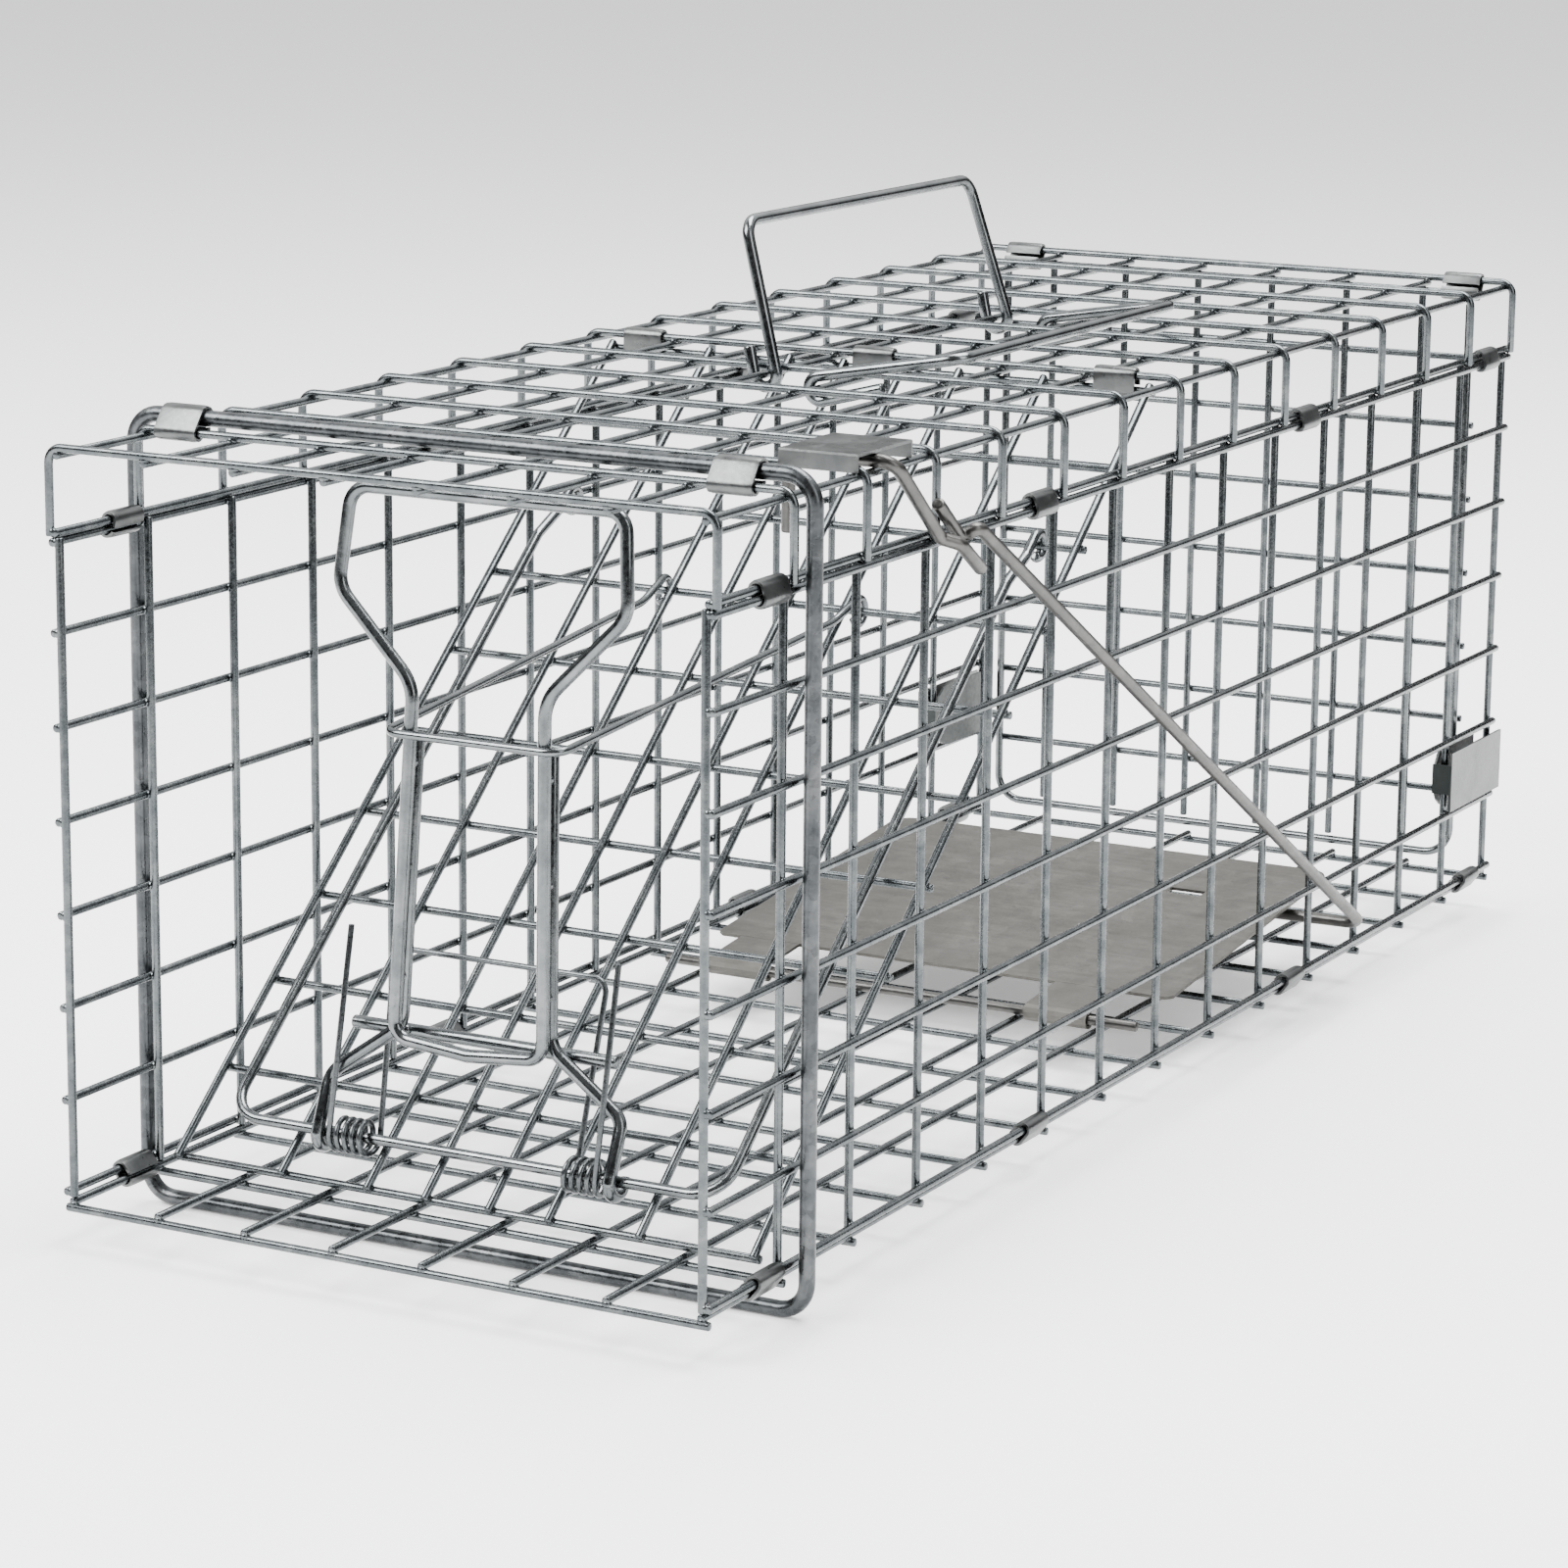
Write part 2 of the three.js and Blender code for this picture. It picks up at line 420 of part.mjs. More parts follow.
// ---------------------------------------------------------------- trigger pan
add("pan_pivot_rod", wire([V(-82, 20, 15.55), V(82, 20, 15.55)], 1.6, 8), ...RODC);
{
  const tilt = Math.atan(0.1), f = frameOf(V(0, 20, 17.9), V(1, 0, 0), V(0, Math.cos(tilt), Math.sin(tilt)));
  const x0 = -75, x1 = 84, a = 20.1, b = 148.7, r = 7, pts = [[x0, a + 2], [x0 + 2, a], [x1 - 2, a], [x1, a + 2]];
  for (const [cx, s, e] of [[x1 - r, 0, 90], [x0 + r, 90, 180]])
    for (let k = 0; k <= 4; k++) {
      const t = ((s + ((e - s) * k) / 4) * Math.PI) / 180;
      pts.push([cx + r * Math.cos(t), b - r + r * Math.sin(t)]);
    }
  const shape = polygon(pts);
  shape.holes.push(new THREE.Path([[42, 110], [42, 115], [54, 115], [54, 110]].map((p) => new THREE.Vector2(...p))));
  let s = solid(extrude(shape, 1, f.clone().multiply(new THREE.Matrix4().makeTranslation(0, 0, -0.5))));
  // front tabs curled over and round the pivot rod
  const tab = [], c = [20, 15.55], ri = 2.0, ro = 2.95;
  const turn = (rr, deg) => [c[0] + rr * Math.cos((deg * Math.PI) / 180), c[1] + rr * Math.sin((deg * Math.PI) / 180)];
  for (let k = 0; k <= 8; k++) tab.push(turn(ro, 80 + k * 31));
  for (let k = 8; k >= 0; k--) tab.push(turn(ri, 80 + k * 31));
  const onPan = (v, w) => [20 + v * Math.cos(tilt) - w * Math.sin(tilt), 17.9 + v * Math.sin(tilt) + w * Math.cos(tilt)];
  tab.push(onPan(21.5, -0.45), onPan(21.5, 0.45));
  for (const at of [-66, 45]) s = s.add(solid(extrude(polygon(tab), 21, frameOf(V(at, 0, 0), V(0, 1, 0), V(0, 0, 1)))));
  add("trigger_pan", geometryOf(s), ...PANC);
}

// ---------------------------------------------------------------- carrying bails
const bail = (px, tiltDeg, middle, d, tail) => {
  // a: across the bail's plane, h: up the bail, in the bail's own frame turned about the roof wire
  const t = (tiltDeg * Math.PI) / 180; // from vertical, positive towards +X
  const up = V(Math.sin(t), 0, Math.cos(t)), across = V(Math.cos(t), 0, -Math.sin(t));
  const at = (a, h, y) => V(px, y, ROOF_LONG).addScaledVector(across, d * a).addScaledVector(up, h);
  const foot = (e) => {
    const y = middle + (e * HANDLE_FEET) / 2;
    const hook = Array.from({ length: 7 }, (_, k) => {
      const q = ((180 + k * 30) * Math.PI) / 180;
      return at(3.7 * Math.cos(q), 3.7 * Math.sin(q), y);
    });
    return [at(-3.7, tail, y), ...hook];
  };
  const leg = (e) => [
    ...foot(-e * -1),
    ...bend([[at(3.7, 0, middle + (e * HANDLE_FEET) / 2), 0], [at(0, HANDLE_H, middle + (e * HANDLE_GRIP) / 2), 6, 4], [at(0, HANDLE_H, middle), 0]]).slice(1, -1),
  ];
  return wire([...leg(-1), ...leg(1).reverse()], HANDLE_R, 8);
};
add("handle_left", bail(xs[3], -11.9, 34, 1, 9), ...ZINC);
add("handle_right", bail(xs[4], 75.5, 16.5, -1, 20), ...ZINC);

// ---------------------------------------------------------------- rear door
{
  const rows = [1, 2, 3, 4, 5, 6].map((k) => WALL_BOTTOM + k * PZ).concat([192.4, REAR_TOP]);
  rows[6] = 190.6;
  const u = [-69, -41.4, -13.8, 13.8, 41.4, 69];
  const f = frameOf(V(0, REAR_Y - LAYER - H, 0), V(-1, 0, 0), V(0, 0, 1));
  let s = solid(mesh({ u, v: rows, frame: f }));
  for (const z of rows) for (const d of [-1, 1]) s = s.add(solid(box(d > 0 ? 69 : -88.3, d > 0 ? 88.3 : -69, REAR_Y - LAYER, REAR_Y + H, z - H, z + H)));
  for (const d of [-1, 1]) s = s.subtract(solid(box(d > 0 ? 69 + H : -90, d > 0 ? 90 : -69 - H, 268, REAR_Y - H, 20, 214)));
  for (const x of u) s = s.add(solid(box(x - H, x + H, REAR_Y - LAYER - H, REAR_Y - LAYER + H, 20.4, rows[0])));
  add("rear_mesh", geometryOf(s), ...ZINC);
}
add("rear_rod", wire(bend([
  [V(-REAR_ROD_X, 269.2, 209.2), 0],
  [V(-REAR_ROD_X, 269.2, 18.5), 9, 4],
  [V(REAR_ROD_X, 269.2, 18.5), 9, 4],
  [V(REAR_ROD_X, 269.2, 209.2), 0],
]), REAR_ROD_R, 8), ...ZINC);

// ---------------------------------------------------------------- rear latches
for (const [name, d] of [["latch_left", -1], ["latch_right", 1]]) {
  const z0 = 42.4, z1 = 62.6, zm = 53.3, r = 11;
  const outer = box(99.8, 100.6, 231.6, 278, z0, z1);
  const fold = box(93.7, 100.6, 231.6, 232.5, zm - 5, zm + 5); // neck that joins the plates through the mesh
  const disc = [[268, zm - r], [268, zm + r]];
  for (let k = 0; k <= 8; k++) {
    const a = ((90 + k * 22.5) * Math.PI) / 180;
    disc.push([231.6 + r + r * Math.cos(a), zm + r * Math.sin(a)]);
  }
  const inner = extrude(polygon(disc), 0.8, frameOf(V(93.7, 0, 0), V(0, 1, 0), V(0, 0, 1)));
  let s = solid(outer).add(solid(fold)).add(solid(inner));
  if (d < 0) s = s.mirror([1, 0, 0]);
  add(name, geometryOf(s), ...CLIP);
}

// ---------------------------------------------------------------- rest on z = 0, centred in plan
const whole = new THREE.Box3();
for (const m of group.children) {
  m.geometry.computeBoundingBox();
  whole.union(m.geometry.boundingBox);
}
const shift = V(-(whole.min.x + whole.max.x) / 2, -(whole.min.y + whole.max.y) / 2, -whole.min.z);
for (const m of group.children) m.geometry.translate(shift.x, shift.y, shift.z);
group.userData.shift = shift.toArray();

export default group;
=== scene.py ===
import bpy, bmesh, math
from mathutils import Vector, Matrix


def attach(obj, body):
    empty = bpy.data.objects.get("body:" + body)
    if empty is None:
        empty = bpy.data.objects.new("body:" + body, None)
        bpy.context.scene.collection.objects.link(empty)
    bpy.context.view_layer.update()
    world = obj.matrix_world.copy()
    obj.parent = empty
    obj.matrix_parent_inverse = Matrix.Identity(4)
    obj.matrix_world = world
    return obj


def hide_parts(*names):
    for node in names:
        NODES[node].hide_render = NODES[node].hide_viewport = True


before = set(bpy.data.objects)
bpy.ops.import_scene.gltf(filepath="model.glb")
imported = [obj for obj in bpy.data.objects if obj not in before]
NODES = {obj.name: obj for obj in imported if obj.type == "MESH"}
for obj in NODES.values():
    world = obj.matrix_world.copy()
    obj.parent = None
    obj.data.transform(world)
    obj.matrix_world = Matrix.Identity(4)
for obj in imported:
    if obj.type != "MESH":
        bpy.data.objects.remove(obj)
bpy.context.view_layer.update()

# ------------------------------------------------------------------ the CAD's dimensions, in mm
PX, PY, PZ = 27.6, 39.2, 25.4
xs = [(i - 3.5) * PX for i in range(8)]
ys = [(j - 7) * PY for j in range(15)]
zs = [15.2 + PZ * k for k in range(7)] + [191.7]
FZ, FL, ROOF_L, ROOF_C, FLX, FLZ = 10.75, 12.65, 214.8, 216.7, 97.6, 194.3
MW = 1.2  # mesh wire radius
HOOP_Y, HOOP_X, HOOP_TOP, HOOP_BOT, HOOP_R = -231.2, 103.2, 220.3, 2.3, 2.3
HINGE_Z, FOOT_Y, FOOT_Z = 212.3, -235.2, 14.65
DOOR_X = [-90, -56, -28.4, -10, 10, 28.4, 56, 90]
L = math.hypot(FOOT_Y, HINGE_Z - FOOT_Z)
AL = Vector((0, -FOOT_Y / L, (HINGE_Z - FOOT_Z) / L))
OUT = Vector((0, -AL.z, AL.y))
ROWS = [1.4 + n * (L - 1.4) / 10 for n in range(11)]
S = Vector((-1.9015465, -1.25, -0.0892710))


def V(x, y, z):
    return Vector((x, y, z))


def on_door(x, s, w):
    return V(x, FOOT_Y, FOOT_Z) + AL * s + OUT * w


PIV = on_door(0, 13, 7)
UP = V(0, 0.0637, 0.998).normalized()
FR = V(0, -UP.z, UP.y)


def on_lever(x, t, n):
    return V(x, PIV.y, PIV.z) + UP * t + FR * n


# ------------------------------------------------------------------ mesh making
def bend(corners, fine=2):
    out = []
    for i, c in enumerate(corners):
        p, r = c[0], c[1]
        steps = (c[2] if len(c) > 2 else 4) * fine
        if not r or i in (0, len(corners) - 1):
            out.append(p.copy())
            continue
        a, b = corners[i - 1][0] - p, corners[i + 1][0] - p
        la, lb = a.length, b.length
        a, b = a.normalized(), b.normalized()
        half = math.acos(max(-1, min(1, a.dot(b)))) / 2
        reach = r / math.tan(half)
        most = 0.49 * min(la, lb)
        rr = r * most / reach if reach > most else r
        reach = min(reach, most)
        c0 = p + (a + b).normalized() * (rr / math.sin(half))
        f0, f1 = p + a * reach - c0, p + b * reach - c0
        turn = math.pi - 2 * half
        for k in range(steps + 1):
            f = k / steps
            out.append(c0 + f0 * (math.sin((1 - f) * turn) / math.sin(turn)) + f1 * (math.sin(f * turn) / math.sin(turn)))
    return out


def arc(place, cs, cw, r, a0, sweep, steps):
    return [place(cs + r * math.cos(math.radians(a0 + sweep * k / steps)), cw + r * math.sin(math.radians(a0 + sweep * k / steps))) for k in range(steps + 1)]


def tube(bm, pts, r, sides=12, closed=False, burr=0.12):
    """A round wire along pts (mm), with slightly crowned, cut ends."""
    n = len(pts)
    tan = []
    for i in range(n):
        if closed:
            d = (pts[(i + 1) % n] - pts[i]).normalized() + (pts[i] - pts[i - 1]).normalized()
        else:
            d = V(0, 0, 0)
            if i:
                d += (pts[i] - pts[i - 1]).normalized()
            if i < n - 1:
                d += (pts[i + 1] - pts[i]).normalized()
        tan.append(d.normalized())
    ref = min((V(1, 0, 0), V(0, 1, 0), V(0, 0, 1)), key=lambda v: abs(v.dot(tan[0])))
    nrm = (ref - tan[0] * ref.dot(tan[0])).normalized()
    rings = []
    spec = [(i, 1.0, 0.0) for i in range(n)]
    if not closed:
        spec = [(0, 0.55, 0.0), (0, 0.93, burr * r)] + [(0, 1.0, 0.35 * r)] + spec[1:-1] + [(n - 1, 1.0, -0.35 * r), (n - 1, 0.93, -burr * r), (n - 1, 0.55, 0.0)]
    prev = tan[0]
    for i, k, off in spec:
        t = tan[i]
        ax = prev.cross(t)
        if ax.length > 1e-9:
            nrm = Matrix.Rotation(prev.angle(t), 3, ax.normalized()) @ nrm
            nrm = (nrm - t * nrm.dot(t)).normalized()
        prev = t
        b = t.cross(nrm)
        c = pts[i] + t * off
        rings.append([bm.verts.new(mm(c + (nrm * math.cos(a) + b * math.sin(a)) * (r * k))) for a in [2 * math.pi * q / sides for q in range(sides)]])
    m = len(rings)
    for i in range(m if closed else m - 1):
        A, B = rings[i], rings[(i + 1) % m]
        for q in range(sides):
            bm.faces.new((A[q], A[(q + 1) % sides], B[(q + 1) % sides], B[q]))
    if not closed:
        bm.faces.new(list(reversed(rings[0])))
        bm.faces.new(rings[-1])


def mm(p):
    return (Vector((p.x, max(p.y, -275.48), p.z)) + S) / 1000


def nugget(bm, p, a, b, c, size=1.2):
    """A flattened weld fillet between two crossing wires: a and b are the wires, c the layer axis."""
    segs, rows = 8, 4
    top = bm.verts.new(mm(p + c * 0.95 * size))
    bot = bm.verts.new(mm(p - c * 0.95 * size))
    prev = None
    rings = []
    for j in range(1, rows):
        th = math.pi * j / rows
        rings.append([bm.verts.new(mm(p + c * (0.95 * size * math.cos(th)) + (a * math.cos(ph) + b * math.sin(ph)) * (1.22 * size * math.sin(th)))) for ph in [2 * math.pi * q / segs for q in range(segs)]])
    for q in range(segs):
        bm.faces.new((top, rings[0][q], rings[0][(q + 1) % segs]))
        bm.faces.new((bot, rings[-1][(q + 1) % segs], rings[-1][q]))
        for A, B in zip(rings, rings[1:]):
            bm.faces.new((A[q], B[q], B[(q + 1) % segs], A[(q + 1) % segs]))


def finish_mesh(bm, name, body, mat, replaced, smooth=True):
    bmesh.ops.recalc_face_normals(bm, faces=bm.faces)
    me = bpy.data.meshes.new(name)
    bm.to_mesh(me)
    bm.free()
    for p in me.polygons:
        p.use_smooth = smooth
    ob = bpy.data.objects.new(name, me)
    bpy.context.scene.collection.objects.link(ob)
    me.materials.append(mat)
    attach(ob, body)
    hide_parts(*replaced)
    return ob


def sharpen(ob, angle=40):
    """Flat faces meet at crisp edges, curved ones stay smooth."""
    me = ob.data
    bm = bmesh.new()
    bm.from_mesh(me)
    for e in bm.edges:
        e.smooth = not (len(e.link_faces) == 2 and e.calc_face_angle(0) > math.radians(angle))
    bm.to_mesh(me)
    bm.free()


# ------------------------------------------------------------------ materials
def nodes_of(name):
    m = bpy.data.materials.new(name)
    m.use_nodes = True
    nt = m.node_tree
    nt.nodes.clear()
    out = nt.nodes.new("ShaderNodeOutputMaterial")
    sh = nt.nodes.new("ShaderNodeBsdfPrincipled")
    nt.links.new(sh.outputs[0], out.inputs[0])
    tc = nt.nodes.new("ShaderNodeTexCoord")
    return m, nt, sh, tc


def noise(nt, tc, scale, detail=4, rough=0.55, stretch=None, dist=0.0):
    src = tc.outputs["Object"]
    if stretch:
        mp = nt.nodes.new("ShaderNodeMapping")
        mp.inputs["Scale"].default_value = stretch
        nt.links.new(src, mp.inputs["Vector"])
        src = mp.outputs[0]
    n = nt.nodes.new("ShaderNodeTexNoise")
    n.inputs["Scale"].default_value = scale
    n.inputs["Detail"].default_value = detail
    n.inputs["Roughness"].default_value = rough
    n.inputs["Distortion"].default_value = dist
    nt.links.new(src, n.inputs["Vector"])
    return n


def ramp(nt, fac, stops):
    r = nt.nodes.new("ShaderNodeValToRGB")
    while len(r.color_ramp.elements) < len(stops):
        r.color_ramp.elements.new(0.5)
    for e, (p, c) in zip(r.color_ramp.elements, stops):
        e.position = p
        e.color = (*c, 1) if len(c) == 3 else c
    nt.links.new(fac, r.inputs[0])
    return r


def mix(nt, fac, a, b, mode="MIX"):
    x = nt.nodes.new("ShaderNodeMix")
    x.data_type = "RGBA"
    x.blend_type = mode
    if isinstance(fac, float):
        x.inputs[0].default_value = fac
    else:
        nt.links.new(fac, x.inputs[0])
    nt.links.new(a, x.inputs[6])
    nt.links.new(b, x.inputs[7])
    return x.outputs[2]


DEPTH = 0.42  # plated steel mirrors a very bright studio, so its own colour is kept low


def metal(name, stops, rough, bump=0.15, scale=900, spangle=None, streak=None, metallic=1.0):
    m, nt, sh, tc = nodes_of(name)
    sh.inputs["Metallic"].default_value = metallic
    stops = [(p, tuple(v * DEPTH for v in c)) for p, c in stops]
    n1 = noise(nt, tc, scale * 0.12, 5, 0.6, None, 0.4)
    col = ramp(nt, n1.outputs["Fac"], stops).outputs[0]
    n2 = noise(nt, tc, scale, 3, 0.6)
    rr = ramp(nt, n2.outputs["Fac"], [(0.3, (rough[0],) * 3), (0.7, (rough[1],) * 3)]).outputs[0]
    height = n2.outputs["Fac"]
    if spangle:
        v = nt.nodes.new("ShaderNodeTexVoronoi")
        v.inputs["Scale"].default_value = spangle[0]
        v.inputs["Randomness"].default_value = 1.0
        nt.links.new(tc.outputs["Object"], v.inputs["Vector"])
        bw = nt.nodes.new("ShaderNodeRGBToBW")
        nt.links.new(v.outputs["Color"], bw.inputs[0])
        g = ramp(nt, bw.outputs[0], [(0.0, (1 - spangle[1],) * 3), (1.0, (1 + 0 * spangle[1],) * 3)]).outputs[0]
        col = mix(nt, 1.0, col, g, "MULTIPLY")
        sp = ramp(nt, bw.outputs[0], [(0.0, (rough[0],) * 3), (1.0, (rough[1],) * 3)]).outputs[0]
        rr = mix(nt, 0.5, rr, sp)
    if streak:
        n3 = noise(nt, tc, 1.0, 4, 0.65, streak)
        g = ramp(nt, n3.outputs["Fac"], [(0.35, (0.82,) * 3), (0.65, (1.0,) * 3)]).outputs[0]
        col = mix(nt, 1.0, col, g, "MULTIPLY")
        height = n3.outputs["Fac"]
    nt.links.new(col, sh.inputs["Base Color"])
    nt.links.new(rr, sh.inputs["Roughness"])
    b = nt.nodes.new("ShaderNodeBump")
    b.inputs["Strength"].default_value = bump
    b.inputs["Distance"].default_value = 0.0002
    nt.links.new(height, b.inputs["Height"])
    nt.links.new(b.outputs[0], sh.inputs["Normal"])
    return m


ZINC = metal("bright_zinc_wire", [(0.25, (0.13, 0.15, 0.16)), (0.5, (0.22, 0.245, 0.255)), (0.75, (0.36, 0.38, 0.385))], (0.16, 0.34), 0.1, 1400)
ZINC_HEAVY = metal("bright_zinc_bar", [(0.25, (0.20, 0.22, 0.23)), (0.5, (0.33, 0.355, 0.365)), (0.75, (0.48, 0.50, 0.51))], (0.14, 0.28), 0.1, 700)
HOOPM = metal("galvanised_bar", [(0.2, (0.10, 0.11, 0.12)), (0.5, (0.20, 0.215, 0.225)), (0.8, (0.38, 0.39, 0.40))], (0.20, 0.42), 0.35, 700, (420, 0.45))
SHEETM = metal("satin_zinc_sheet", [(0.25, (0.19, 0.20, 0.205)), (0.5, (0.27, 0.28, 0.28)), (0.8, (0.36, 0.365, 0.365))], (0.24, 0.42), 0.2, 800, (160, 0.18))
RODM = metal("dull_plated_rod", [(0.25, (0.15, 0.15, 0.145)), (0.55, (0.22, 0.215, 0.205)), (0.8, (0.30, 0.295, 0.285))], (0.28, 0.44), 0.25, 900)
SPRINGM = metal("spring_wire", [(0.25, (0.16, 0.18, 0.19)), (0.6, (0.27, 0.29, 0.30)), (0.8, (0.38, 0.40, 0.41))], (0.22, 0.36), 0.12, 1200)
PANM = metal("galvanised_pan", [(0.2, (0.25, 0.24, 0.215)), (0.5, (0.33, 0.32, 0.29)), (0.8, (0.42, 0.405, 0.375))], (0.36, 0.55), 0.25, 500, (220, 0.14), (26, 420, 26))
# painted shade: a near-black colour for the latches' inner plate, standing in for the shadow that falls there
LATCH_PAINTED_SHADE_M = metal("latch_inner_painted_shade", [(0.25, (0.035, 0.045, 0.045)), (0.6, (0.06, 0.072, 0.07)), (0.8, (0.10, 0.115, 0.11))], (0.30, 0.5), 0.2, 800, metallic=0.6)

X, Y, Z = V(1, 0, 0), V(0, 1, 0), V(0, 0, 1)

# ------------------------------------------------------------------ floor
bm = bmesh.new()
for y in ys:
    tube(bm, [V(-98.9, y, FZ), V(98.9, y, FZ)], MW)
for x in xs:
    tube(bm, [V(x, -275.3, FL), V(x, 275.3, FL)], MW)
    for y in ys:
        nugget(bm, V(x, y, (FZ + FL) / 2), X, Y, Z)
finish_mesh(bm, "floor_mesh", "cage", ZINC, ["floor_panel"])

# ------------------------------------------------------------------ side walls
for name, d in (("left", -1), ("right", 1)):
    bm = bmesh.new()
    for y in ys:
        tube(bm, [V(d * 96.6, y, 13.9), V(d * 96.6, y, 193.1)], MW)
    for z in zs:
        tube(bm, [V(d * 98.5, -275.3, z), V(d * 98.5, 275.3, z)], MW)
        for y in ys:
            nugget(bm, V(d * 97.55, y, z), Y, Z, X)
    finish_mesh(bm, name + "_wall_mesh", "cage", ZINC, [name + "_wall_panel"])

# ------------------------------------------------------------------ roof with bent-down flanges
bm = bmesh.new()
for y in ys:
    tube(bm, bend([[V(-99.5, y, FLZ - 1.1), 0], [V(-99.5, y, ROOF_C), 4.2, 4], [V(99.5, y, ROOF_C), 4.2, 4], [V(99.5, y, FLZ - 1.1), 0]]), MW)
for x in xs:
    tube(bm, [V(x, -275.3, ROOF_L), V(x, 275.3, ROOF_L)], MW)
    for y in ys:
        if abs(x) < 96:
            nugget(bm, V(x, y, (ROOF_L + ROOF_C) / 2), X, Y, Z)
for d in (-1, 1):
    tube(bm, [V(d * FLX, -275.3, FLZ), V(d * FLX, 275.3, FLZ)], MW)
    for y in ys:
        nugget(bm, V(d * (FLX + 99.5 * 1) / 2 if False else d * 98.55, y, FLZ), Y, Z, X)
finish_mesh(bm, "roof_mesh", "cage", ZINC, ["roof_panel"])


# ------------------------------------------------------------------ clips
def hull2(points):
    p = sorted((round(a, 6), round(b, 6)) for a, b in points)

    def half(seq):
        h = []
        for q in seq:
            while len(h) > 1 and (h[-1][0] - h[-2][0]) * (q[1] - h[-2][1]) - (h[-1][1] - h[-2][1]) * (q[0] - h[-2][0]) <= 1e-9:
                h.pop()
            h.append(q)
        return h[:-1]

    return half(p) + half(p[::-1])


def clip_mesh(name, a, b, ra, rb, axis, at, slit, length=13.0):
    """Folded sheet sleeve round two wires: two lips meet on the side slit points to, one bent slightly proud."""
    t = 0.7
    path = hull2([(c[0] + (r + t / 2) * math.cos(q), c[1] + (r + t / 2) * math.sin(q)) for c, r in ((a, ra), (b, rb)) for q in [2 * math.pi * k / 28 for k in range(28)]])
    m = ((a[0] + b[0]) / 2, (a[1] + b[1]) / 2)
    # densify and open at the slit
    pts = []
    for i, p in enumerate(path):
        q = path[(i + 1) % len(path)]
        n = max(1, int(math.dist(p, q) / 1.2))
        pts += [(p[0] + (q[0] - p[0]) * k / n, p[1] + (q[1] - p[1]) * k / n) for k in range(n)]
    start = min(range(len(pts)), key=lambda i: abs(pts[i][1] - m[1]) + (0 if (pts[i][0] - m[0]) * slit > 0 else 100))
    pts = pts[start:] + pts[:start]
    pts = pts[:-1] if math.dist(pts[0], pts[-1]) < 0.9 else pts
    n = len(pts)
    rows = []
    bm = bmesh.new()
    for i, p in enumerate(pts):
        q0, q1 = pts[max(i - 1, 0)], pts[min(i + 1, n - 1)]
        d = Vector((q1[0] - q0[0], q1[1] - q0[1])).normalized()
        nn = Vector((d.y, -d.x))
        flare = 0.25 * max(0.0, 1 - min(i, n - 1 - i) / 2.0)
        row = []
        for s in (t / 2, -t / 2):
            uv = (p[0] + nn.x * (s + flare), p[1] + nn.y * (s + flare))
            # ends of the sleeve dip inwards a little where it was crimped
            for e, w in ((-1, length / 2), (-1, length / 2 - 1.2), (1, length / 2 - 1.2), (1, length / 2)):
                k = -0.18 if w == length / 2 else 0.0
                u2, v2 = uv[0] + nn.x * k, uv[1] + nn.y * k
                row.append(bm.verts.new(mm(V(u2, at + e * w, v2) if axis == "y" else V(at + e * w, u2, v2))))
        rows.append(row)
    ring = [0, 1, 2, 3, 7, 6, 5, 4]
    for A, B in zip(rows, rows[1:]):
        for k in range(8):
            i, j = ring[k], ring[(k + 1) % 8]
            bm.faces.new((A[i], B[i], B[j], A[j]))
    for A, flip in ((rows[0], False), (rows[-1], True)):
        for q in ((0, 1, 5, 4), (1, 2, 6, 5), (2, 3, 7, 6)):
            f = [A[k] for k in q]
            bm.faces.new(f if flip else f[::-1])
    ob = finish_mesh(bm, name + "_sleeve", "cage", SHEETM, [name])
    sharpen(ob, 50)
    return ob


TOPS, BOTS = [-245, -90, 98, 255], [-245, -88, 100, 255]
R1 = 1.75
for k, where in enumerate(["front", "mid_front", "mid_rear", "rear"]):
    for side, d in (("left", -1), ("right", 1)):
        clip_mesh(f"clip_top_{side}_{where}", (d * 98.5, 191.7), (d * FLX, FLZ), R1, R1, "y", TOPS[k], -d)
        clip_mesh(f"clip_bottom_{side}_{where}", (d * 96.6, FL), (d * 98.5, 15.2), R1, R1, "y", BOTS[k], -d)
for k, x in enumerate([-86, 82]):
    clip_mesh("clip_hoop_" + ["left", "right"][k], (ys[1], ROOF_C), (HOOP_Y, HOOP_TOP), R1, HOOP_R + 0.4, "x", x, 1)
for k, x in enumerate([-79, 0, 79]):
    clip_mesh("clip_door_" + ["left", "middle", "right"][k], (0, ROOF_C), (0, HINGE_Z), R1, R1, "x", x, 1)
for k, x in enumerate([-82, 82]):
    clip_mesh("clip_rear_" + ["left", "right"][k], (ys[14], ROOF_C), (272, 212.4), R1, R1, "x", x, -1)

# ------------------------------------------------------------------ hoop
bm = bmesh.new()
hp = bend([[V(0, HOOP_Y, HOOP_BOT), 0], [V(HOOP_X, HOOP_Y, HOOP_BOT), 8, 5], [V(HOOP_X, HOOP_Y, HOOP_TOP), 8, 5], [V(-HOOP_X, HOOP_Y, HOOP_TOP), 8, 5], [V(-HOOP_X, HOOP_Y, HOOP_BOT), 8, 5], [V(-0.5, HOOP_Y, HOOP_BOT), 0]])
tube(bm, hp, HOOP_R - 0.1, 24, closed=True)
finish_mesh(bm, "front_hoop_bar", "front_hoop", HOOPM, ["front_hoop"])

